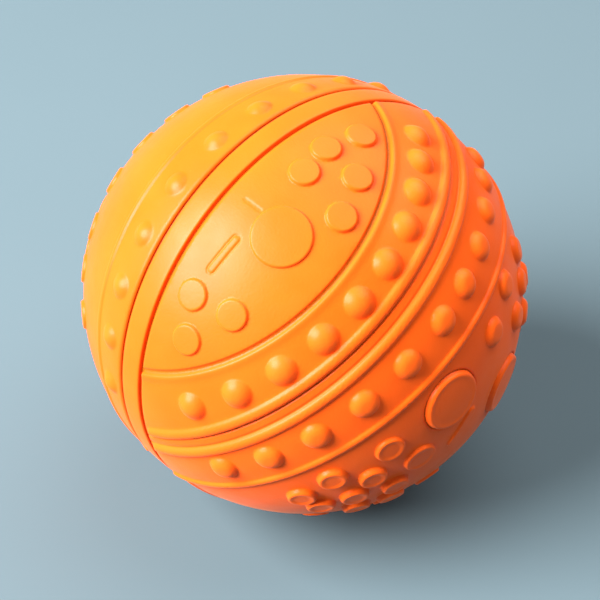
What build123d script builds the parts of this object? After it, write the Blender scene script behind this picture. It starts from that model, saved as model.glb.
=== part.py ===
from build123d import *
import os
from math import cos, radians, sin

os.makedirs("parts", exist_ok=True)

# ---------------------------------------------------------------- body, mm and degrees
ball_radius = 45.0
shell_wall = 3.0
cavity_radius = ball_radius - shell_wall

# the pattern axis lies in the seam plane and rises from +Y by this angle at rest
pattern_axis_tilt = 29.7

# ---------------------------------------------------------------- seam
seam_groove_outer = 3.3          # half width over both grooves
seam_groove_floor = 43.6         # radius at the bottom of the grooves
seam_corner = 0.4
shell_edge = 0.6                 # each shell's inner lip stops this far from the seam plane
strip_half_width = 2.35
strip_floor = 43.7
strip_edge_round = 0.35
strip_shoulder = (ball_radius**2 - strip_half_width**2) ** 0.5
web_half_width = 0.5
backing_half_width = 4.0
backing_outer = 41.65
backing_inner = 40.95

# ---------------------------------------------------------------- relief rings of one half
# each ring is a small circle round an axis in the plane square to the pattern axis:
# (longitude of that axis, angular radius)
panel_border = (104.0, 51.9)
belt_nub_row = (107.0, 61.8)
belt_ridge_inner = (112.2, 73.2)
belt_ridge_outer = (112.1, 79.0)
side_nub_row = (110.5, 85.2)
side_ridge = (112.0, 94.3)
fine_ridge = (8.0, 79.8)
seam_nub_row = (1.9, 81.9)

border_groove = 0.55             # radius of the groove's round section
border_lip = 0.75
border_lip_height = 0.45
border_lip_offset = 1.5          # degrees outside the groove
belt_ridge_section = 1.15
belt_ridge_height = 0.85
belt_groove = 0.4
belt_groove_offset = 1.8
side_ridge_section = 1.0
side_ridge_height = 0.6
fine_ridge_section = 0.8
fine_ridge_height = 0.3

# ---------------------------------------------------------------- nubs and discs
nub_base_radius = 2.8
nub_height = 1.7
low_nub_base_radius = 2.5
low_nub_height = 1.2
belt_nub_pitch = 12.9
side_nub_pitch = 12.7
nub_pitch_shrink = 0.27          # the pitch closes up towards the upper end of each row
seam_nub_pitch = 14.3

disc_radius = 3.0
low_disc_height = 0.8
tall_disc_height = 1.4
panel_disc_radius = 5.8
panel_disc_height = 0.6
side_disc_radius = 6.5
side_disc_height = 1.0
disc_edge_round = 0.45

# longitude and latitude of every disc on one half
panel_disc_spot = (68.0, 0.0)
side_disc_spots = [(7.5, -0.6), (-16.0, 13.5)]
low_disc_spots = [(72.5, 34.0), (75.7, 24.3), (74.7, 15.6), (64.3, 23.1), (60.5, 12.5)]
low_disc_spots += [(76.7, -22.7), (65.3, -20.7), (71.8, -32.3)]
tall_disc_spots = [(10.6, -19.4), (0.0, -15.6), (9.0, -35.5), (1.0, -27.6), (3.5, -45.7)]
tall_disc_spots += [(-6.1, -34.5), (-7.3, -43.5), (-10.2, -24.6), (-18.0, -36.0), (-19.5, -27.0)]
tall_disc_spots += [(6.4, 19.1), (8.1, 31.5), (0.1, 45.1), (-7.0, 38.5), (-5.6, 28.6)]
tall_disc_spots += [(-16.0, 33.0), (-17.0, 43.0)]
far_disc_spots = [(-41.0, -46.0), (-40.0, -34.0), (-41.0, -23.0), (-42.0, -10.0)]
far_disc_spots += [(-42.5, 2.0), (-44.0, 13.5), (-45.0, 25.0), (-30.0, -16.0), (-30.0, 20.0)]
far_disc_spots += [(-31.0, -28.0), (-33.0, 33.0)]

# short raised dashes: longitude, latitude, length, width, turn
dash_spots = [(78.4, 1.7, 4.4, 0.9, 90.0), (76.4, -11.4, 8.6, 1.5, -4.0)]
dash_spots += [(-6.9, -2.9, 9.5, 2.2, 26.0)]
dash_height = 0.35

# ---------------------------------------------------------------- air bladder and valve
bladder_outer = 40.8
bladder_wall = 0.6
valve_lon = 248.0
valve_lat = 0.0
neck_radius = 3.2
neck_hole_radius = 3.3
neck_inner_end = 34.0
valve_lip_radius = 4.4
valve_lip_bottom = 44.2
valve_lip_top = 45.3
valve_flange_radius = 7.0
valve_flange_outer = 40.1
valve_flange_wall = 1.0
plug_bore_radius = 1.55
plug_recess_radius = 2.9
plug_recess_floor = 44.3
core_chamber_radius = 2.2
core_chamber_top = 36.3

plug_stem_radius = 1.5
plug_stem_end = 37.5
plug_head_radius = 2.6
plug_head_bottom = 44.4
plug_head_top = 45.4

core_radius = 2.1
core_top = 36.2
core_seat = 34.1
core_lip_end = 31.8
core_slit_width = 0.3
core_slit_length = 2.6

# ---------------------------------------------------------------- directions
tilt = radians(pattern_axis_tilt)
seam_normal = Vector(1, 0, 0)
pattern_axis = Vector(0, cos(tilt), sin(tilt))
panel_side = Vector(0, -sin(tilt), cos(tilt))


def outward(lon, lat):
    """Direction from the ball's centre to a longitude and latitude of the pattern."""
    level = seam_normal * cos(radians(lon)) + panel_side * sin(radians(lon))
    return level * cos(radians(lat)) + pattern_axis * sin(radians(lat))


def spot(lon, lat, radius=0.0, turn=0.0):
    """Plane facing outward at that longitude and latitude, its x along the latitude."""
    facing = outward(lon, lat)
    along = outward(lon + 90, 0)
    place = Plane(origin=facing * radius, x_dir=along, z_dir=facing)
    return place.rotated((0, 0, turn)).location


def ring_section(ring):
    """Plane through a ring's axis: x along the axis, y square to it, in the level plane."""
    return Plane(origin=(0, 0, 0), x_dir=outward(ring[0], 0), z_dir=pattern_axis)


def ring_axis(ring):
    return Axis((0, 0, 0), outward(ring[0], 0))


def on_ring(ring, turn):
    """Longitude and latitude of a point of a ring, turned from its crossing at latitude 0."""
    reach = radians(ring[1])
    swing = radians(turn)
    start = outward(ring[0] - 90, 0)
    across = start * cos(swing) + pattern_axis * sin(swing)
    return outward(ring[0], 0) * cos(reach) + across * sin(reach)


def nub_place(ring, turn, depth):
    facing = on_ring(ring, turn)
    return Plane(origin=facing * depth, z_dir=facing).location


def dome_radius(base, height):
    return (base * base + height * height) / (2 * height)


# ---------------------------------------------------------------- small round bosses
def disc_rim(radius, top):
    """Height of a disc's spherical top at its rim."""
    return (top * top - radius * radius) ** 0.5


with BuildPart() as low_disc:
    top = ball_radius + low_disc_height
    rim = disc_rim(disc_radius, top)
    with BuildSketch(Plane.XZ) as low_disc_section:
        with BuildLine():
            RadiusArc((0, top), (disc_radius, rim), top)
            Line((disc_radius, rim), (disc_radius, cavity_radius + 1))
            Line((disc_radius, cavity_radius + 1), (0, cavity_radius + 1))
            Line((0, cavity_radius + 1), (0, top))
        make_face()
        fillet(low_disc_section.vertices().group_by(Axis.X)[-1].sort_by(Axis.Y)[-1], disc_edge_round)
    revolve(axis=Axis.Z)

with BuildPart() as tall_disc:
    top = ball_radius + tall_disc_height
    rim = disc_rim(disc_radius, top)
    with BuildSketch(Plane.XZ) as tall_disc_section:
        with BuildLine():
            RadiusArc((0, top), (disc_radius, rim), top)
            Line((disc_radius, rim), (disc_radius, cavity_radius + 1))
            Line((disc_radius, cavity_radius + 1), (0, cavity_radius + 1))
            Line((0, cavity_radius + 1), (0, top))
        make_face()
        fillet(tall_disc_section.vertices().group_by(Axis.X)[-1].sort_by(Axis.Y)[-1], disc_edge_round)
    revolve(axis=Axis.Z)

with BuildPart() as panel_disc:
    top = ball_radius + panel_disc_height
    rim = disc_rim(panel_disc_radius, top)
    with BuildSketch(Plane.XZ) as panel_disc_section:
        with BuildLine():
            RadiusArc((0, top), (panel_disc_radius, rim), top)
            Line((panel_disc_radius, rim), (panel_disc_radius, cavity_radius + 1))
            Line((panel_disc_radius, cavity_radius + 1), (0, cavity_radius + 1))
            Line((0, cavity_radius + 1), (0, top))
        make_face()
        fillet(panel_disc_section.vertices().group_by(Axis.X)[-1].sort_by(Axis.Y)[-1], disc_edge_round)
    revolve(axis=Axis.Z)

with BuildPart() as side_disc:
    top = ball_radius + side_disc_height
    rim = disc_rim(side_disc_radius, top)
    with BuildSketch(Plane.XZ) as side_disc_section:
        with BuildLine():
            RadiusArc((0, top), (side_disc_radius, rim), top)
            Line((side_disc_radius, rim), (side_disc_radius, cavity_radius + 1))
            Line((side_disc_radius, cavity_radius + 1), (0, cavity_radius + 1))
            Line((0, cavity_radius + 1), (0, top))
        make_face()
        fillet(side_disc_section.vertices().group_by(Axis.X)[-1].sort_by(Axis.Y)[-1], disc_edge_round)
    revolve(axis=Axis.Z)

# ---------------------------------------------------------------- nub places
belt_nub_depth = ball_radius + nub_height - dome_radius(nub_base_radius, nub_height)
seam_nub_depth = ball_radius + low_nub_height - dome_radius(low_nub_base_radius, low_nub_height)

nub_places = []
for step in range(-4, 6):
    turn = belt_nub_pitch * step - nub_pitch_shrink * step * step
    nub_places.append(nub_place(belt_nub_row, turn, belt_nub_depth))
for step in range(-4, 7):
    turn = -2.8 + side_nub_pitch * step - nub_pitch_shrink * step * step
    nub_places.append(nub_place(side_nub_row, turn, belt_nub_depth))

seam_nub_places = []
for step in range(-4, 6):
    turn = -4.6 + seam_nub_pitch * step
    seam_nub_places.append(nub_place(seam_nub_row, turn, seam_nub_depth))

# ---------------------------------------------------------------- fine ridge along the seam
with BuildPart() as fine_band:
    reach = radians(fine_ridge[1])
    centre = ball_radius + fine_ridge_height - fine_ridge_section
    with BuildSketch(ring_section(fine_ridge)) as fine_cord:
        with Locations((centre * cos(reach), centre * sin(reach))):
            Circle(fine_ridge_section)
    revolve(axis=ring_axis(fine_ridge))
    with Locations(Plane(origin=-panel_side * 30, x_dir=seam_normal, z_dir=panel_side).location):
        Box(120, 120, 60, mode=Mode.INTERSECT)

# ---------------------------------------------------------------- front half shell
with BuildPart() as front_half_shell:
    Sphere(ball_radius)

    # two cord ridges of the belt
    for ring in (belt_ridge_inner, belt_ridge_outer):
        reach = radians(ring[1])
        centre = ball_radius + belt_ridge_height - belt_ridge_section
        with BuildSketch(ring_section(ring)) as cord:
            with Locations((centre * cos(reach), centre * sin(reach))):
                Circle(belt_ridge_section)
        revolve(axis=ring_axis(ring))

    # soft ridge at the edge of the side panel
    reach = radians(side_ridge[1])
    centre = ball_radius + side_ridge_height - side_ridge_section
    with BuildSketch(ring_section(side_ridge)) as side_cord:
        with Locations((centre * cos(reach), centre * sin(reach))):
            Circle(side_ridge_section)
    revolve(axis=ring_axis(side_ridge))

    # raised lip just outside the lens panel's groove
    reach = radians(panel_border[1] + border_lip_offset)
    centre = ball_radius + border_lip_height - border_lip
    with BuildSketch(ring_section(panel_border)) as lip:
        with Locations((centre * cos(reach), centre * sin(reach))):
            Circle(border_lip)
    revolve(axis=ring_axis(panel_border))

    # fine ridge on the far side of the side panel
    add(fine_band.part)

    # domed nubs
    with Locations(*nub_places):
        Sphere(dome_radius(nub_base_radius, nub_height))
    with Locations(*seam_nub_places):
        Sphere(dome_radius(low_nub_base_radius, low_nub_height))

    # raised discs
    with Locations(*[spot(lon, lat) for lon, lat in low_disc_spots + far_disc_spots]):
        add(low_disc.part)
    with Locations(*[spot(lon, lat) for lon, lat in tall_disc_spots]):
        add(tall_disc.part)
    with Locations(spot(*panel_disc_spot)):
        add(panel_disc.part)
    with Locations(*[spot(lon, lat) for lon, lat in side_disc_spots]):
        add(side_disc.part)

    # short dashes beside the panels' discs
    for lon, lat, length, width, turn in dash_spots:
        with Locations(spot(lon, lat, ball_radius - 1.0, turn)):
            Box(width, length, 2 * (1.0 + dash_height))

    # groove round the lens panel
    reach = radians(panel_border[1])
    with BuildSketch(ring_section(panel_border)) as groove:
        with Locations((ball_radius * cos(reach), ball_radius * sin(reach))):
            Circle(border_groove)
    revolve(axis=ring_axis(panel_border), mode=Mode.SUBTRACT)

    # a fine groove inside each cord ridge
    for ring, side in ((belt_ridge_inner, 1), (belt_ridge_outer, -1)):
        reach = radians(ring[1] + side * belt_groove_offset)
        with BuildSketch(ring_section(ring)) as channel:
            with Locations((ball_radius * cos(reach), ball_radius * sin(reach))):
                Circle(belt_groove)
        revolve(axis=ring_axis(ring), mode=Mode.SUBTRACT)

    # rebate for the seam strip, its outer corner broken
    with BuildSketch(Plane.XY) as rebate:
        with BuildLine():
            Polyline(
                (0, seam_groove_floor),
                (seam_groove_outer, seam_groove_floor),
                (seam_groove_outer, ball_radius - seam_corner),
                (seam_groove_outer + seam_corner, ball_radius),
                (seam_groove_outer + seam_corner, ball_radius + 4),
                (0, ball_radius + 4),
                close=True,
            )
        make_face()
    revolve(axis=Axis.X, mode=Mode.SUBTRACT)

    # keep this side of the seam and hollow it
    with Locations((shell_edge + 60, 0, 0)):
        Box(120, 120, 120, mode=Mode.INTERSECT)
    Sphere(cavity_radius, mode=Mode.SUBTRACT)
front_half_shell.part.label = "front_half_shell"
export_step(front_half_shell.part, "parts/front_half_shell.step")

# ---------------------------------------------------------------- rear half shell
valve_face = spot(valve_lon, valve_lat)
half_turn = Plane(origin=(0, 0, 0), x_dir=-seam_normal, z_dir=pattern_axis).location
home = Plane(origin=(0, 0, 0), x_dir=seam_normal, z_dir=pattern_axis).location

with BuildPart() as rear_half_shell:
    with Locations(half_turn * home.inverse()):
        add(front_half_shell.part)
    with Locations(valve_face):
        with Locations((0, 0, cavity_radius - 1)):
            Cylinder(
                neck_hole_radius,
                6,
                align=(Align.CENTER, Align.CENTER, Align.MIN),
                mode=Mode.SUBTRACT,
            )
        with Locations((0, 0, valve_lip_bottom - 0.1)):
            Cylinder(
                valve_lip_radius + 0.1,
                4,
                align=(Align.CENTER, Align.CENTER, Align.MIN),
                mode=Mode.SUBTRACT,
            )
rear_half_shell.part.label = "rear_half_shell"
export_step(rear_half_shell.part, "parts/rear_half_shell.step")

# ---------------------------------------------------------------- seam strip
with BuildPart() as seam_strip:
    with BuildSketch(Plane.XY) as strip_section:
        with BuildLine():
            RadiusArc(
                (-strip_half_width, strip_shoulder),
                (strip_half_width, strip_shoulder),
                ball_radius,
            )
            Polyline(
                (strip_half_width, strip_shoulder),
                (strip_half_width, strip_floor),
                (web_half_width, strip_floor),
                (web_half_width, backing_outer),
                (backing_half_width, backing_outer),
                (backing_half_width, backing_inner),
                (-backing_half_width, backing_inner),
                (-backing_half_width, backing_outer),
                (-web_half_width, backing_outer),
                (-web_half_width, strip_floor),
                (-strip_half_width, strip_floor),
                (-strip_half_width, strip_shoulder),
            )
        make_face()
        fillet(strip_section.vertices().group_by(Axis.Y)[-1], strip_edge_round)
    revolve(axis=Axis.X)
seam_strip.part.label = "seam_strip"
export_step(seam_strip.part, "parts/seam_strip.step")

# ---------------------------------------------------------------- air bladder
with BuildPart() as air_bladder:
    Sphere(bladder_outer)
    Sphere(bladder_outer - bladder_wall, mode=Mode.SUBTRACT)
    with Locations(valve_face):
        with Locations((0, 0, bladder_outer - 3)):
            Cylinder(
                neck_hole_radius,
                6,
                align=(Align.CENTER, Align.CENTER, Align.MIN),
                mode=Mode.SUBTRACT,
            )
air_bladder.part.label = "air_bladder"
export_step(air_bladder.part, "parts/air_bladder.step")

# ---------------------------------------------------------------- valve housing
valve_section = Plane(
    origin=(0, 0, 0),
    x_dir=pattern_axis,
    z_dir=pattern_axis.cross(outward(valve_lon, valve_lat)),
)
valve_axis = Axis((0, 0, 0), outward(valve_lon, valve_lat))

with BuildPart() as valve_housing:
    flange_rim = (valve_flange_outer**2 - valve_flange_radius**2) ** 0.5
    neck_seat = (valve_flange_outer**2 - neck_radius**2) ** 0.5
    flange_mid = (valve_flange_radius + neck_radius) / 2
    with BuildSketch(valve_section) as housing_section:
        with BuildLine():
            Polyline(
                (core_chamber_radius, neck_inner_end),
                (neck_radius, neck_inner_end),
                (neck_radius, flange_rim - valve_flange_wall),
                (valve_flange_radius, flange_rim - valve_flange_wall),
                (valve_flange_radius, flange_rim),
            )
            ThreePointArc(
                (valve_flange_radius, flange_rim),
                (flange_mid, (valve_flange_outer**2 - flange_mid**2) ** 0.5),
                (neck_radius, neck_seat),
            )
            Polyline(
                (neck_radius, neck_seat),
                (neck_radius, valve_lip_bottom),
                (valve_lip_radius, valve_lip_bottom),
                (valve_lip_radius, valve_lip_top),
                (plug_recess_radius, valve_lip_top),
                (plug_recess_radius, plug_recess_floor),
                (plug_bore_radius, plug_recess_floor),
                (plug_bore_radius, core_chamber_top),
                (core_chamber_radius, core_chamber_top),
                (core_chamber_radius, neck_inner_end),
            )
        make_face()
    revolve(axis=valve_axis)
valve_housing.part.label = "valve_housing"
export_step(valve_housing.part, "parts/valve_housing.step")

# ---------------------------------------------------------------- valve core
with BuildPart() as valve_core:
    with BuildSketch(valve_section) as core_section:
        with BuildLine():
            Polyline(
                (0, core_top - 0.8),
                (0.9, core_top - 0.8),
                (0.9, core_top),
                (core_radius, core_top),
                (core_radius, core_seat),
                (core_radius - 0.9, core_lip_end),
                (0, core_lip_end),
                (0, core_top - 0.8),
            )
        make_face()
    revolve(axis=valve_axis)
    with Locations(valve_face):
        with Locations((0, 0, core_lip_end - 0.5)):
            Box(
                core_slit_length / 2,
                core_slit_width,
                core_top - core_lip_end,
                align=(Align.CENTER, Align.CENTER, Align.MIN),
                mode=Mode.SUBTRACT,
            )
valve_core.part.label = "valve_core"
export_step(valve_core.part, "parts/valve_core.step")

# ---------------------------------------------------------------- valve plug
with BuildPart() as valve_plug:
    with BuildSketch(valve_section) as plug_section:
        with BuildLine():
            Polyline(
                (0, plug_stem_end),
                (plug_stem_radius - 0.6, plug_stem_end),
                (plug_stem_radius, plug_stem_end + 0.9),
                (plug_stem_radius, plug_head_bottom),
                (plug_head_radius, plug_head_bottom),
                (plug_head_radius, plug_head_top - 0.25),
                (plug_head_radius - 0.25, plug_head_top),
                (0, plug_head_top),
                (0, plug_stem_end),
            )
        make_face()
    revolve(axis=valve_axis)
valve_plug.part.label = "valve_plug"
export_step(valve_plug.part, "parts/valve_plug.step")
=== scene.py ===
from math import asin, cos, pi, radians, sin

import bmesh
import bpy
import numpy as np
from mathutils import Matrix, Vector


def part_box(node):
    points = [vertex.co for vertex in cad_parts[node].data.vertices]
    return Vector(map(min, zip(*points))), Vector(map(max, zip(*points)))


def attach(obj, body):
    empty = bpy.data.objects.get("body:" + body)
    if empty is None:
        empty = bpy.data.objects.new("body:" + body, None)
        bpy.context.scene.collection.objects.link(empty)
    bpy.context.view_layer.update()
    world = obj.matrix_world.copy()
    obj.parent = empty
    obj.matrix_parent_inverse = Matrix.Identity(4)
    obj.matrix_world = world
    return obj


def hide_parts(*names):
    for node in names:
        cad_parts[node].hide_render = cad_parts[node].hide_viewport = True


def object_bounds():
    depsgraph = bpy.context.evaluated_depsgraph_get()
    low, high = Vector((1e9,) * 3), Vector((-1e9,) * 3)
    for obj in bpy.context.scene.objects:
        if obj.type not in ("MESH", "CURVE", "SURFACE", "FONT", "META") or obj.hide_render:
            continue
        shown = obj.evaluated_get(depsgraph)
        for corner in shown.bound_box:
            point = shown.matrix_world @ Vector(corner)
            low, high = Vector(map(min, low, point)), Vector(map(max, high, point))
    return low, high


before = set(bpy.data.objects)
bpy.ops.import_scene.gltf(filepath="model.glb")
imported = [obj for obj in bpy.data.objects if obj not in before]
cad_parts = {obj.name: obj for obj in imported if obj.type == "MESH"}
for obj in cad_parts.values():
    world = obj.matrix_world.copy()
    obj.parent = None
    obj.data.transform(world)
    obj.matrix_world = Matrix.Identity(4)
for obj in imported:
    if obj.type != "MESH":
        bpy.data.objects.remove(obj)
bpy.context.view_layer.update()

MM = 0.001                       # meshes are shaped in millimetres and scaled to metres last

# ---------------------------------------------------------------- ball, from the frame, mm and degrees
ball_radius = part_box("seam_strip")[1].y / MM
wall_thickness = 3.0
cavity_radius = ball_radius - wall_thickness
pattern_axis_tilt = radians(29.7)
seam_normal = Vector((1, 0, 0))
pattern_axis = Vector((0, cos(pattern_axis_tilt), sin(pattern_axis_tilt)))
panel_side = Vector((0, -sin(pattern_axis_tilt), cos(pattern_axis_tilt)))

# ---------------------------------------------------------------- seam
groove_side = 3.2                # half width over both seam grooves
groove_bed = 44.1                # what shows at the bottom of a groove
ledge_radius = 43.6              # the shells' ledges under the strip's head
shell_edge = 0.6                 # each shell stops this far from the seam plane
edge_round = 0.65                # rounding of a shell where it drops into the groove
edge_cuts = (0.04, 0.15, 0.4, 1.0)
strip_half_width = 2.45
strip_gap = 0.05
# the shell's way in from its rounded edge: distance from the seam plane, radius
groove_steps = [
    (groove_side, groove_bed + 0.15),
    (groove_side - 0.2, groove_bed),
    (strip_half_width + strip_gap, groove_bed),
    (strip_half_width + strip_gap, ledge_radius),
    (shell_edge, ledge_radius),
]
strip_floor = 43.7
strip_round = 0.35
backing_half_width = 4.0
backing_outer = 41.65
backing_inner = 40.95
web_half_width = 0.5
strip_crown_cuts = (0.3, 0.6, 0.8)
strip_round_step = 18            # degrees
strip_steps = 300

# ---------------------------------------------------------------- relief of one half
# a ring is a small circle: (longitude of its axis, angular radius, latitude of its axis)
panel_border = (104.0, 51.9, 0.0)
belt_nub_row = (107.0, 62.5, 0.0)
belt_ridge_inner = (112.2, 73.1, 0.5)
belt_ridge_outer = (112.1, 79.0, 0.5)
side_nub_row = (110.5, 85.4, 2.0)
side_ridge = (112.0, 95.0, 3.5)
fine_ridge = (8.0, 79.8, 0.0)
seam_nub_row = (1.9, 81.9, 0.0)

# a cord is a raised ridge: ring, half width, height, foot fillet
cords = [
    (belt_ridge_inner, 1.12, 0.62, 0.16),
    (belt_ridge_outer, 1.12, 0.62, 0.16),
    (side_ridge, 0.8, 0.5, 0.14),
    (fine_ridge, 0.7, 0.3, 0.1),
]
cord_fullness = 3.4
cord_cuts = (-1.18, -1.0, -0.8, -0.45, 0.0, 0.45, 0.8, 1.0, 1.18)
cord_tip_start = 5.2             # cords end in a rounded tip this far from the seam plane

# a channel is a groove along a ring: ring, offset in degrees, half width, depth, shoulder
channels = [
    (panel_border, 0.0, 0.6, 0.5, 0.1),
    (belt_ridge_inner, 1.72, 0.3, 0.32, 0.05),
    (belt_ridge_outer, -1.75, 0.35, 0.14, 0.06),
]
channel_cuts = (-1.15, -1.0, -0.7, 0.0, 0.7, 1.0, 1.15)
lip_height = 0.24                # a soft lip runs along the outside of the panel's groove
lip_centre = 0.95
lip_rise = 0.35
lip_fall = 0.95
lip_cuts = (0.75, 0.95, 1.2, 1.5, 1.9, 2.4, 3.0)

belt_nub_shape = (2.95, 1.4, 2.3, 0.14)      # radius, height, fullness, foot fillet
side_nub_shape = (2.9, 1.3, 3.4, 0.06)
seam_nub_shape = (2.5, 1.0, 2.0, 0.2)
nub_cuts = (0.35, 0.7, 0.93, 1.0, 1.1)
belt_nub_steps = range(-4, 6)
belt_nub_pitch = 12.9
belt_nub_pitch_shrink = 0.27
side_nub_turns = (-57.7, -44.0, -30.4, -16.5, -2.8, 10.6, 21.6, 33.1, 45.0, 56.5, 66.5)
seam_nub_steps = range(-4, 6)
seam_nub_pitch = 14.3
seam_nub_start = -4.6

disc_radius = 3.0
panel_disc_radius = 5.8
side_disc_radius = 6.25
beside_disc_radius = 3.5
low_disc_height = 0.55
upper_disc_height = 0.7
tall_disc_height = 1.1
thin_disc_height = 0.7
panel_disc_height = 0.5
side_disc_height = 0.8
sharp_rim = (0.5, 0.0, 0.0)      # width of the rolled edge, dish of the top, depth of the outline
soft_rim = (0.75, 0.22, 0.0)
thin_rim = (0.5, 0.2, 0.0)
outlined_rim = (0.75, 0.12, 0.28)
domed_rim = (2.1, 0.0, 0.0)
outline_width = 0.45
dish_width = 0.9
rim_cuts = (-1.0, -0.6, -0.25, -0.05, 0.0)   # in widths of the rolled edge
rim_foot_cut = 0.12
disc_top_inset = 1.8             # the faces of a disc's top are refined only this near its edge
boss_reach = 0.9                 # and round a boss this far past its edge
cut_reach = 1.4

panel_disc_spots = [(68.0, 0.0)]
side_disc_spots = [(5.9, -0.9), (-16.0, 13.5)]
upper_disc_spots = [(72.5, 34.0), (75.7, 24.3), (74.7, 15.6), (64.3, 23.1), (60.5, 12.5)]
low_disc_spots = [(77.1, -23.3), (65.6, -21.2), (72.3, -33.1)]
thin_disc_spots = [(8.3, -19.7)]
beside_disc_spots = [(-3.4, -15.6)]
tall_disc_spots = [(9.0, -35.5), (1.0, -27.6), (3.5, -45.7)]
tall_disc_spots += [(-6.1, -34.5), (-7.3, -43.5), (-10.2, -24.6), (-18.0, -36.0), (-19.5, -27.0)]
domed_disc_spots = [(6.4, 19.1), (8.1, 31.5), (0.1, 45.1), (-7.0, 38.5), (-5.6, 28.6)]
domed_disc_spots += [(-16.0, 33.0), (-17.0, 43.0)]
far_disc_spots = [(-41.0, -46.0), (-40.0, -34.0), (-41.0, -23.0), (-42.0, -10.0)]
far_disc_spots += [(-42.5, 2.0), (-44.0, 13.5), (-45.0, 25.0), (-30.0, -16.0), (-30.0, 20.0)]
far_disc_spots += [(-31.0, -28.0), (-33.0, 33.0)]

# bars beside the large discs: longitude, latitude, half length, half width, turn, height, outline depth
bars = [
    (76.4, -11.4, 4.3, 0.75, -4.0, 0.1, 0.2),
    (78.4, 1.7, 2.2, 0.4, 90.0, -0.1, 0.0),
    (-6.9, -2.9, 4.7, 1.1, 26.0, 0.4, 0.0),
]
bar_shoulder = 0.3               # a bar's side rises over this width
bar_outline_width = 0.2
bar_cuts = (-0.4, -0.15, 0.0, 0.15, 0.4)
least_bar_end = 0.1              # no line is cut round a bar's end closer in than this
bar_facing = 0.9                 # cosine from a bar's middle within which it adds height

# ---------------------------------------------------------------- valve
valve_lon = 248.0
valve_pocket_radius = 4.5        # holds the valve's lip, in the middle of the rear panel's large disc
valve_pocket_floor = 44.1
neck_hole_radius = 3.3


def outward(lon, lat):
    """Direction from the ball's centre to a longitude and latitude of the pattern."""
    level = seam_normal * cos(radians(lon)) + panel_side * sin(radians(lon))
    return level * cos(radians(lat)) + pattern_axis * sin(radians(lat))


def ring_axis(ring):
    return outward(ring[0], ring[2])


def on_ring(ring, turn):
    """Direction of a point of a ring, turned from its middle."""
    reach = radians(ring[1])
    level = outward(ring[0] - 90, 0)
    rising = outward(ring[0], ring[2] + 90)
    across = level * cos(radians(turn)) + rising * sin(radians(turn))
    return ring_axis(ring) * cos(reach) + across * sin(reach)


def degrees_to_arc(angle):
    return radians(angle) * ball_radius


# ---------------------------------------------------------------- places of the round bosses
nubs = []
for step in belt_nub_steps:
    turn = belt_nub_pitch * step - belt_nub_pitch_shrink * step * step
    nubs.append((on_ring(belt_nub_row, turn), *belt_nub_shape))
for turn in side_nub_turns:
    nubs.append((on_ring(side_nub_row, turn), *side_nub_shape))
for step in seam_nub_steps:
    turn = seam_nub_start + seam_nub_pitch * step
    nubs.append((on_ring(seam_nub_row, turn), *seam_nub_shape))

discs = []
for spots, radius, height, rim in (
    (panel_disc_spots, panel_disc_radius, panel_disc_height, sharp_rim),
    (side_disc_spots, side_disc_radius, side_disc_height, outlined_rim),
    (upper_disc_spots, disc_radius, upper_disc_height, sharp_rim),
    (low_disc_spots, disc_radius, low_disc_height, sharp_rim),
    (thin_disc_spots, disc_radius, thin_disc_height, thin_rim),
    (beside_disc_spots, beside_disc_radius, thin_disc_height, thin_rim),
    (tall_disc_spots, disc_radius, tall_disc_height, soft_rim),
    (domed_disc_spots, disc_radius, tall_disc_height, domed_rim),
    (far_disc_spots, disc_radius, low_disc_height, sharp_rim),
):
    for lon, lat in spots:
        discs.append((outward(lon, lat), radius, height, rim))


# ---------------------------------------------------------------- height of the relief
def swell(rise, blend):
    """Keeps what is above zero, with a fillet where it meets zero."""
    return 0.5 * (rise + np.sqrt(rise * rise + blend * blend))


def arc_from(directions, axis):
    """Distance along the ball's surface from an axis, mm."""
    return np.arccos(np.clip(directions @ np.array(axis), -1, 1)) * ball_radius


def bar_lines(lon, lat, turn):
    """Where a bar faces, and its directions across and along."""
    facing = outward(lon, lat)
    east = outward(lon + 90, 0)
    south = facing.cross(east)
    swing = radians(turn)
    return facing, east * cos(swing) + south * sin(swing), south * cos(swing) - east * sin(swing)


def bar_frame(directions, lon, lat, turn):
    """Surface coordinates across and along a bar, mm."""
    facing, across, along = bar_lines(lon, lat, turn)
    near = directions @ np.array(facing) > bar_facing
    u = directions @ np.array(across) * ball_radius
    v = directions @ np.array(along) * ball_radius
    return np.where(near, u, 1e3), v


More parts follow.
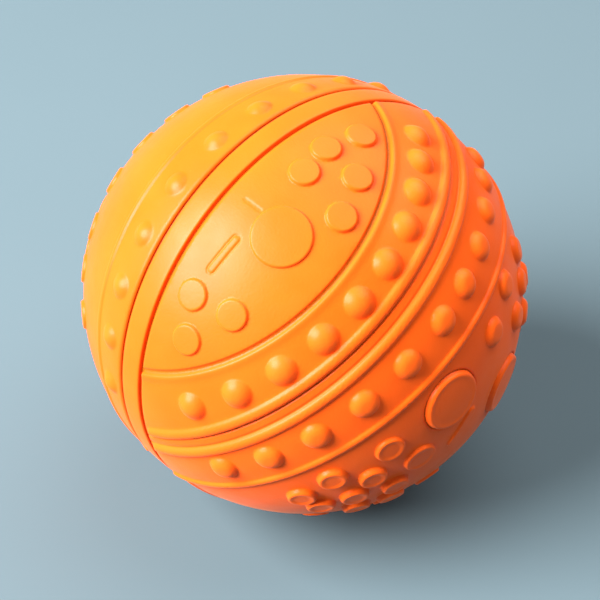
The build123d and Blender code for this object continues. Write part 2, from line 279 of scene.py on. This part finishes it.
def relief(directions):
    """Height over the bare ball, in mm, for an array of unit directions on the front half."""
    height = np.zeros(len(directions))
    from_seam = directions[:, 0] * ball_radius
    below = directions @ np.array(panel_side) < 0

    for ring, half_width, rise, fillet in cords:
        across = arc_from(directions, ring_axis(ring)) - degrees_to_arc(ring[1])
        to_tip = np.maximum(0, cord_tip_start - from_seam)
        away = np.sqrt(across**2 + to_tip**2) / half_width
        bump = swell(rise * (1 - away**cord_fullness), fillet)
        if ring is fine_ridge:
            bump = np.where(below, bump, 0)
        height += bump

    for ring, offset, half_width, depth, shoulder in channels:
        across = arc_from(directions, ring_axis(ring)) - degrees_to_arc(ring[1] + offset)
        height -= swell(depth * (1 - (across / half_width) ** 2), shoulder)

    outside = arc_from(directions, ring_axis(panel_border)) - degrees_to_arc(panel_border[1])
    from_crest = outside - lip_centre
    spread = np.where(from_crest < 0, lip_rise, lip_fall)
    height += lip_height * np.exp(-((from_crest / spread) ** 2))

    for axis, radius, rise, fullness, fillet in nubs:
        away = arc_from(directions, axis) / radius
        height += swell(rise * (1 - away**fullness), fillet)

    for axis, radius, rise, (roll_width, dish, outline) in discs:
        past = arc_from(directions, axis) - radius
        roll = np.clip(past / roll_width + 1, 0, 1)
        height += rise * (1 - roll**3)
        sink = np.clip(-(past + roll_width) / dish_width, 0, 1)
        height -= dish * sink * sink * (3 - 2 * sink)
        height -= outline * np.clip(1 - ((past - outline_width / 2) / (outline_width / 2)) ** 2, 0, 1)

    for lon, lat, half_length, half_width, turn, rise, outline in bars:
        u, v = bar_frame(directions, lon, lat, turn)
        over = np.sqrt(u**2 + np.maximum(0, np.abs(v) - half_length + half_width) ** 2) - half_width
        height += rise * np.clip(0.5 - over / bar_shoulder, 0, 1)
        height -= outline * np.exp(-((over / bar_outline_width) ** 2))

    drop = np.clip(1 - (from_seam - groove_side) / edge_round, 0, 1)
    height -= edge_round * (1 - np.sqrt(1 - drop**2))
    return height


# ---------------------------------------------------------------- mesh helpers
def all_of(bm):
    return bm.verts[:] + bm.edges[:] + bm.faces[:]


def cut_ring(bm, geom, axis, angle):
    """Puts an edge line on the mesh where a small circle runs, without removing anything."""
    result = bmesh.ops.bisect_plane(
        bm,
        geom=geom,
        dist=0.003,
        plane_co=axis * (ball_radius * cos(angle)),
        plane_no=axis,
    )
    return result["geom"]


def edges_in(geom):
    return [g for g in geom if isinstance(g, bmesh.types.BMEdge)]


def faces_near(bm, axis, reach):
    """Faces round an axis, with their edges and corners."""
    centre = axis * ball_radius
    found = [f for f in bm.faces if (f.verts[0].co - centre).length < reach]
    edges = {e for f in found for e in f.edges}
    verts = {v for f in found for v in f.verts}
    return list(verts) + list(edges) + found


def cut_bar(bm, lon, lat, half_length, half_width, turn):
    """Refines the faces round a bar and puts edge lines along its sides and round its ends."""
    facing, across, along = bar_lines(lon, lat, turn)
    fine = edges_in(faces_near(bm, facing, half_length + 1.5))
    bmesh.ops.subdivide_edges(bm, edges=fine, cuts=1, use_grid_fill=True)
    bmesh.ops.triangulate(bm, faces=bm.faces[:])
    geom = faces_near(bm, facing, half_length + 1)
    for cut in bar_cuts:
        for side in (1, -1):
            geom = bmesh.ops.bisect_plane(
                bm,
                geom=geom,
                dist=0.01,
                plane_co=across * (side * (half_width + cut)),
                plane_no=across,
            )["geom"]
            end = (facing * ball_radius + along * (side * (half_length - half_width))).normalized()
            if half_width + cut > least_bar_end:
                geom = cut_ring(bm, geom, end, (half_width + cut) / ball_radius)


def open_edges(bm):
    return [e for e in bm.edges if e.is_boundary]


def seam_loop(bm, x):
    """Open edges that lie at a distance from the seam plane."""
    return [e for e in open_edges(bm) if all(abs(v.co.x - x) < 0.02 for v in e.verts)]


def pull_loop(bm, edges, move):
    """Extrudes a loop of edges and moves its new corners by a function of their place."""
    result = bmesh.ops.extrude_edge_only(bm, edges=edges)
    made = result["geom"]
    for v in (g for g in made if isinstance(g, bmesh.types.BMVert)):
        v.co = move(v.co)
    return [g for g in made if isinstance(g, bmesh.types.BMEdge) and g.is_boundary]


def level_ring(x, radius):
    """Moves a corner to a circle round the seam's axis."""
    def move(co):
        side = Vector((0, co.y, co.z)).normalized() * (radius**2 - x**2) ** 0.5
        return Vector((x, side.y, side.z))
    return move


def finish_piece(bm, name, material, slot, body, *nodes, sharp=None):
    """Turns a bmesh in millimetres into an object in metres that rides on a body."""
    bmesh.ops.scale(bm, vec=(MM, MM, MM), verts=bm.verts)
    for face in bm.faces:
        face.smooth = True
    if sharp is not None:
        for edge in bm.edges:
            if len(edge.link_faces) == 2 and edge.calc_face_angle(0) > sharp:
                edge.smooth = False
    mesh = bpy.data.meshes.new(name)
    bm.to_mesh(mesh)
    bm.free()
    piece = bpy.data.objects.new(name, mesh)
    bpy.context.scene.collection.objects.link(piece)
    mesh.materials.append(material)
    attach(piece, body)
    if nodes:
        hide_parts(*nodes)
    return piece


# ---------------------------------------------------------------- materials
def start_material(name):
    material = bpy.data.materials.new(name)
    material.use_nodes = True
    tree = material.node_tree
    tree.nodes.clear()
    output = tree.nodes.new("ShaderNodeOutputMaterial")
    shader = tree.nodes.new("ShaderNodeBsdfPrincipled")
    tree.links.new(shader.outputs["BSDF"], output.inputs["Surface"])
    place = tree.nodes.new("ShaderNodeTexCoord")
    return material, tree, shader, place.outputs["Object"]


def noise(tree, place, scale, detail=2.0, roughness=0.5):
    node = tree.nodes.new("ShaderNodeTexNoise")
    node.inputs["Scale"].default_value = scale
    node.inputs["Detail"].default_value = detail
    node.inputs["Roughness"].default_value = roughness
    tree.links.new(place, node.inputs["Vector"])
    return node.outputs["Fac"]


def ramp(tree, value, low, high, start, end):
    node = tree.nodes.new("ShaderNodeMapRange")
    node.inputs["From Min"].default_value = low
    node.inputs["From Max"].default_value = high
    node.inputs["To Min"].default_value = start
    node.inputs["To Max"].default_value = end
    tree.links.new(value, node.inputs["Value"])
    return node.outputs["Result"]


def blend_colours(tree, factor, first, second):
    node = tree.nodes.new("ShaderNodeMix")
    node.data_type = "RGBA"
    tree.links.new(factor, node.inputs["Factor"])
    a, b = [s for s in node.inputs if s.type == "RGBA"]
    for socket, colour in ((a, first), (b, second)):
        if isinstance(colour, tuple):
            socket.default_value = (*colour, 1)
        else:
            tree.links.new(colour, socket)
    return [s for s in node.outputs if s.type == "RGBA"][0]


def bump(tree, height, strength, distance, below=None):
    node = tree.nodes.new("ShaderNodeBump")
    node.inputs["Strength"].default_value = strength
    node.inputs["Distance"].default_value = distance
    tree.links.new(height, node.inputs["Height"])
    if below is not None:
        tree.links.new(below, node.inputs["Normal"])
    return node.outputs["Normal"]


rubber_surface = {
    "Specular IOR Level": 0.08,
    "Diffuse Roughness": 0.3,
    "Coat Weight": 0.08,
    "Coat Roughness": 0.28,
    "Coat IOR": 1.4,
    "Sheen Weight": 0.07,
    "Sheen Roughness": 0.35,
    "Sheen Tint": (1.0, 0.8, 0.55, 1),
}
groove_shade = (0.30, 0.078, 0.003)              # painted shade: the colour that grooves and channels are darkened toward
cloud_size, fleck_size, gloss_size = 55, 2600, 240   # scales of the finish's variation
wave_size, grain_size = 120, 1900


def moulded_rubber(name, colour, pale_fleck_and_highlight, deep, roughness, grain=1.0, paint_relief_light_and_shade=False):
    """Satin rubber: cloudy colour, pale flecks, fine moulded grain, slight waviness; with the relief, a
    painted highlight on raised parts and painted shade in grooves.
    """
    material, tree, shader, place = start_material(name)
    cloud = noise(tree, place, cloud_size, 3)
    tint = blend_colours(tree, ramp(tree, cloud, 0.35, 0.65, 0, 1), colour, deep)
    if paint_relief_light_and_shade:
        height = tree.nodes.new("ShaderNodeAttribute")
        height.attribute_name = "relief"
        # painted highlight: the higher the relief stands, the paler the colour
        painted_highlight_mask = ramp(tree, height.outputs["Fac"], 0.2, 1.6, 0, 0.5)
        tint = blend_colours(tree, painted_highlight_mask, tint, pale_fleck_and_highlight)
        # painted shade: the deeper the relief dips into grooves and channels, the more the colour goes
        # to groove_shade
        painted_shade_mask = ramp(tree, height.outputs["Fac"], -0.08, -0.45, 0, 0.85)
        tint = blend_colours(tree, painted_shade_mask, tint, groove_shade)
    fleck = noise(tree, place, fleck_size, 1)
    tint = blend_colours(tree, ramp(tree, fleck, 0.62, 0.8, 0, 0.25), tint, pale_fleck_and_highlight)
    tree.links.new(tint, shader.inputs["Base Color"])
    gloss = noise(tree, place, gloss_size, 3)
    gloss = ramp(tree, gloss, 0.3, 0.7, roughness - 0.05, roughness + 0.06)
    tree.links.new(gloss, shader.inputs["Roughness"])
    waves = bump(tree, noise(tree, place, wave_size, 2), 0.25 * grain, 0.0006)
    fine = bump(tree, noise(tree, place, grain_size, 3, 0.6), 0.3 * grain, 0.00012, waves)
    tree.links.new(fine, shader.inputs["Normal"])
    for socket, value in rubber_surface.items():
        shader.inputs[socket].default_value = value
    return material


orange = (0.85, 0.104, 0.006)
# paler orange of the random flecks, also used as the painted highlight on the shells' raised relief
fleck_and_highlight_orange = (0.88, 0.125, 0.010)
shell_rubber = moulded_rubber(
    "shell_rubber_finish", orange, fleck_and_highlight_orange, (0.83, 0.090, 0.004), 0.4, paint_relief_light_and_shade=True
)
strip_rubber = moulded_rubber(
    "strip_rubber_finish", orange, fleck_and_highlight_orange, (0.83, 0.092, 0.004), 0.4
)
valve_rubber = moulded_rubber(
    "valve_rubber_finish", (0.62, 0.060, 0.006), (0.68, 0.08, 0.01), (0.55, 0.05, 0.004), 0.6
)
plug_plastic = moulded_rubber(
    "plug_plastic_finish", (0.62, 0.57, 0.5), (0.7, 0.66, 0.6), (0.56, 0.5, 0.42), 0.45, 0.5
)
core_rubber = moulded_rubber(
    "core_rubber_finish", (0.02, 0.02, 0.022), (0.05, 0.05, 0.05), (0.012, 0.012, 0.013), 0.6
)
bladder_latex = moulded_rubber(
    "bladder_latex_finish", (0.6, 0.42, 0.25), (0.66, 0.5, 0.32), (0.52, 0.34, 0.18), 0.5
)


# ---------------------------------------------------------------- half shells
def relief_skin():
    """The front half's outer skin with its relief, open at the seam groove's edge."""
    bm = bmesh.new()
    bmesh.ops.create_icosphere(bm, subdivisions=7, radius=ball_radius)
    bmesh.ops.bisect_plane(
        bm,
        geom=all_of(bm),
        dist=0.01,
        plane_co=(groove_side, 0, 0),
        plane_no=(1, 0, 0),
        clear_inner=True,
    )

    # finer faces round every boss before its outline is cut
    fine = set()
    for axis, radius, _, _, _ in nubs:
        fine.update(edges_in(faces_near(bm, axis, radius + boss_reach)))
    for axis, radius, _, _ in discs:
        inner = (radius - disc_top_inset) / ball_radius
        for edge in edges_in(faces_near(bm, axis, radius + boss_reach)):
            middle = (edge.verts[0].co + edge.verts[1].co).normalized()
            if middle.angle(axis) > inner:
                fine.add(edge)
    bmesh.ops.subdivide_edges(bm, edges=list(fine), cuts=1, use_grid_fill=True)
    bmesh.ops.triangulate(bm, faces=bm.faces[:])

    for lon, lat, half_length, half_width, turn, _, _ in bars:
        cut_bar(bm, lon, lat, half_length, half_width, turn)

    # outlines of the bosses
    for axis, radius, _, _, _ in nubs:
        geom = faces_near(bm, axis, radius + cut_reach)
        for cut in nub_cuts:
            geom = cut_ring(bm, geom, axis, cut * radius / ball_radius)
    for axis, radius, _, (roll_width, dish, outline) in discs:
        geom = faces_near(bm, axis, radius + cut_reach)
        reaches = [radius + cut * roll_width for cut in rim_cuts]
        if dish:
            reaches.append(radius - roll_width - dish_width / 2)
            reaches.append(radius - roll_width - dish_width)
        if outline:
            reaches.append(radius + outline_width / 2)
            reaches.append(radius + outline_width)
        else:
            reaches.append(radius + rim_foot_cut)
        for reach in reaches:
            geom = cut_ring(bm, geom, axis, reach / ball_radius)

    # the line where the valve's pocket is opened in the rear half
    valve_seat = outward(valve_lon - 180, 0)
    pocket_faces = faces_near(bm, valve_seat, valve_pocket_radius + cut_reach)
    cut_ring(bm, pocket_faces, valve_seat, asin(valve_pocket_radius / ball_radius))

    # lines along the cords, the channels and the shell's rounded edge
    geom = all_of(bm)
    for ring, half_width, _, _ in cords:
        for cut in cord_cuts:
            angle = radians(ring[1]) + cut * half_width / ball_radius
            geom = cut_ring(bm, geom, ring_axis(ring), angle)
    for ring, offset, half_width, _, _ in channels:
        for cut in channel_cuts:
            angle = radians(ring[1] + offset) + cut * half_width / ball_radius
            geom = cut_ring(bm, geom, ring_axis(ring), angle)
    for cut in lip_cuts:
        angle = radians(panel_border[1]) + cut / ball_radius
        geom = cut_ring(bm, geom, ring_axis(panel_border), angle)
    for cut in edge_cuts:
        x = groove_side + cut * edge_round
        geom = bmesh.ops.bisect_plane(
            bm, geom=geom, dist=0.01, plane_co=(x, 0, 0), plane_no=(1, 0, 0)
        )["geom"]

    bmesh.ops.dissolve_degenerate(bm, dist=0.004, edges=bm.edges[:])
    bmesh.ops.triangulate(bm, faces=bm.faces[:])
    to_edge = level_ring(groove_side, ball_radius)
    for vert in (v for v in bm.verts if v.is_boundary):
        vert.co = to_edge(vert.co)
    lift_skin(bm)
    return bm


def lift_skin(bm):
    """Moves every corner out or in by the relief, and keeps the height for the material."""
    layer = bm.verts.layers.float.new("relief")
    directions = np.array([v.co for v in bm.verts], float)
    directions /= np.linalg.norm(directions, axis=1)[:, None]
    heights = relief(directions)
    placed = directions * (ball_radius + heights)[:, None]
    for vert, co, rise in zip(bm.verts, placed, heights):
        vert.co = co
        vert[layer] = rise


def close_shell(bm, valve_axis=None):
    """Adds the groove's wall and bed, the inner wall, and the valve's hole if there is one."""
    loop = open_edges(bm)
    for x, radius in groove_steps:
        loop = pull_loop(bm, loop, level_ring(x, radius))

    inner = bmesh.new()
    bmesh.ops.create_icosphere(inner, subdivisions=5, radius=cavity_radius)
    bmesh.ops.bisect_plane(
        inner,
        geom=all_of(inner),
        dist=0.01,
        plane_co=(shell_edge, 0, 0),
        plane_no=(1, 0, 0),
        clear_inner=True,
    )
    bmesh.ops.reverse_faces(inner, faces=inner.faces[:])
    carried = bpy.data.meshes.new("inner_wall")
    inner.to_mesh(carried)
    inner.free()
    bm.from_mesh(carried)
    bpy.data.meshes.remove(carried)
    bmesh.ops.bridge_loops(bm, edges=seam_loop(bm, shell_edge))

    if valve_axis is not None:
        bore_valve(bm, valve_axis)


def bore_valve(bm, axis):
    """Opens the valve's pocket in the outer wall and its hole in the inner wall."""
    def loop_at(radius_low, radius_high):
        return [
            e
            for e in open_edges(bm)
            if all(radius_low < v.co.length < radius_high for v in e.verts)
        ]

    def open_cap(radius_low, radius_high, angle):
        middles = [(f, f.calc_center_median()) for f in bm.faces]
        gone = [f for f, m in middles if radius_low < m.length < radius_high and m.angle(axis) < angle]
        bmesh.ops.delete(bm, geom=gone, context="FACES")

    neck_angle = asin(neck_hole_radius / cavity_radius)
    lining = [f for f in bm.faces if f.verts[0].co.length < cavity_radius + 0.5]
    lining = [f for f in lining if f.verts[0].co.angle(axis) < neck_angle + 0.15]
    edges = {e for f in lining for e in f.edges}
    verts = {v for f in lining for v in f.verts}
    bmesh.ops.bisect_plane(
        bm,
        geom=list(verts) + list(edges) + lining,
        dist=0.003,
        plane_co=axis * (cavity_radius * cos(neck_angle)),
        plane_no=axis,
    )
    open_cap(0, cavity_radius + 0.5, neck_angle)
    open_cap(ledge_radius, ball_radius + 3, asin(valve_pocket_radius / ball_radius))

    def flat_ring(radius, level):
        def move(co):
            out = (co - axis * co.dot(axis)).normalized()
            return out * radius + axis * level
        return move

    outer = loop_at(ball_radius - 2.5, ball_radius + 3)
    for edge in outer:
        for vert in edge.verts:
            vert.co = flat_ring(valve_pocket_radius, vert.co.dot(axis))(vert.co)
    floor = pull_loop(bm, outer, flat_ring(valve_pocket_radius, valve_pocket_floor))
    neck = pull_loop(bm, floor, flat_ring(neck_hole_radius, valve_pocket_floor))
    inner = loop_at(cavity_radius - 1.5, cavity_radius + 0.5)
    bmesh.ops.bridge_loops(bm, edges=neck + inner)


skin = relief_skin()
skin_mesh = bpy.data.meshes.new("skin")
skin.to_mesh(skin_mesh)

front = skin
close_shell(front)
bmesh.ops.triangulate(front, faces=front.faces[:])
shell_crease = radians(65)       # edges sharper than this aren't smoothed
finish_piece(
    front,
    "front_half_skin",
    shell_rubber,
    "shell_rubber",
    "ball",
    "front_half_shell",
    sharp=shell_crease,
)

rear = bmesh.new()
rear.from_mesh(skin_mesh)
half_turn = Matrix.Rotation(pi, 4, pattern_axis)
close_shell(rear, half_turn.inverted() @ outward(valve_lon, 0))
bmesh.ops.rotate(rear, matrix=half_turn.to_3x3(), verts=rear.verts)
bmesh.ops.triangulate(rear, faces=rear.faces[:])
finish_piece(
    rear,
    "rear_half_skin",
    shell_rubber,
    "shell_rubber",
    "ball",
    "rear_half_shell",
    sharp=shell_crease,
)
bpy.data.meshes.remove(skin_mesh)


# ---------------------------------------------------------------- seam strip
def build_strip():
    """The strip's section, spun round the seam's axis."""
    bm = bmesh.new()
    shoulder = (ball_radius**2 - strip_half_width**2) ** 0.5
    half = [(0, ball_radius)]
    for share in strip_crown_cuts:
        x = strip_half_width * share
        half.append((x, (ball_radius**2 - x * x) ** 0.5))
    for turn in range(0, 91, strip_round_step):
        x = strip_half_width - strip_round * (1 - sin(radians(turn)))
        half.append((x, shoulder - strip_round * (1 - cos(radians(turn)))))
    half += [(strip_half_width, strip_floor), (web_half_width, strip_floor)]
    half += [(web_half_width, backing_outer), (backing_half_width, backing_outer)]
    half += [(backing_half_width, backing_inner)]
    section = half + [(-x, r) for x, r in reversed(half[1:])]
    verts = [bm.verts.new((x, r, 0)) for x, r in section]
    edges = [bm.edges.new((a, b)) for a, b in zip(verts, verts[1:] + verts[:1])]
    bmesh.ops.spin(
        bm,
        geom=verts + edges,
        cent=(0, 0, 0),
        axis=(1, 0, 0),
        angle=2 * pi,
        steps=strip_steps,
        use_merge=True,
    )
    bmesh.ops.remove_doubles(bm, verts=bm.verts[:], dist=0.001)
    bmesh.ops.recalc_face_normals(bm, faces=bm.faces[:])
    return bm


finish_piece(
    build_strip(),
    "seam_strip_band",
    strip_rubber,
    "strip_rubber",
    "ball",
    "seam_strip",
    sharp=radians(50),
)

for node, material in (
    ("air_bladder", bladder_latex),
    ("valve_core", core_rubber),
    ("valve_housing", valve_rubber),
    ("valve_plug", plug_plastic),
):
    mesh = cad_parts[node].data
    mesh.materials.clear()
    mesh.materials.append(material)

# ---------------------------------------------------------------- floor, light and camera
floor_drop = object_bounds()[0][2]
floor_material, tree, floor_shader, place = start_material("floor_paper")
paper_cloud = noise(tree, place, 9, 3)
paper = blend_colours(tree, paper_cloud, (0.082, 0.117, 0.133), (0.088, 0.124, 0.141))
tree.links.new(paper, floor_shader.inputs["Base Color"])
floor_shader.inputs["Roughness"].default_value = 0.9
floor_shader.inputs["Specular IOR Level"].default_value = 0.15
bm = bmesh.new()
bmesh.ops.create_grid(bm, x_segments=2, y_segments=2, size=3.0)
bmesh.ops.translate(bm, vec=(0, 0, floor_drop), verts=bm.verts)
floor_mesh = bpy.data.meshes.new("floor")
bm.to_mesh(floor_mesh)
bm.free()
floor_mesh.materials.append(floor_material)
floor = bpy.data.objects.new("floor", floor_mesh)
bpy.context.scene.collection.objects.link(floor)

view_azimuth = radians(47.7)
view_elevation = radians(40.9)
view_right = Vector((cos(view_azimuth), sin(view_azimuth), 0))
level_back = Vector((sin(view_azimuth), -cos(view_azimuth), 0))
view_back = level_back * cos(view_elevation) + Vector((0, 0, sin(view_elevation)))
view_up = view_back.cross(view_right)

camera_data = bpy.data.cameras.new("camera")
camera_data.lens = 92.66
camera_data.sensor_width = 36.0
camera_data.clip_start = 0.01
camera = bpy.data.objects.new("camera", camera_data)
stand_off = view_back * 7.0999 - view_right * 0.0147 - view_up * 0.0267     # in ball radii
camera.location = stand_off * ball_radius * MM
camera.rotation_euler = (radians(90) - view_elevation, 0, view_azimuth)
bpy.context.scene.collection.objects.link(camera)
bpy.context.scene.camera = camera

# a soft box up to the left of the view, a weaker one overhead, and a dim surround
def soft_box(name, direction, distance, size, energy):
    data = bpy.data.lights.new(name, "AREA")
    data.shape = "DISK"
    data.size = size
    data.energy = energy
    lamp = bpy.data.objects.new(name, data)
    lamp.location = direction * distance
    lamp.rotation_euler = direction.to_track_quat("Z", "Y").to_euler()
    bpy.context.scene.collection.objects.link(lamp)


key_direction = (view_right * -0.745 + view_up * 0.31 + view_back * 0.59).normalized()
soft_box("side_soft_box", key_direction, 1.5, 1.2, 134.0)
soft_box("overhead_soft_box", Vector((0.05, 0.5, 1)).normalized(), 1.0, 1.2, 15.0)

world = bpy.data.worlds.new("surround")
world.use_nodes = True
world.node_tree.nodes["Background"].inputs["Color"].default_value = (0.92, 0.97, 1.0, 1)
world.node_tree.nodes["Background"].inputs["Strength"].default_value = 0.28
bpy.context.scene.world = world
bpy.context.scene.view_settings.view_transform = "Standard"

bpy.context.view_layer.update()
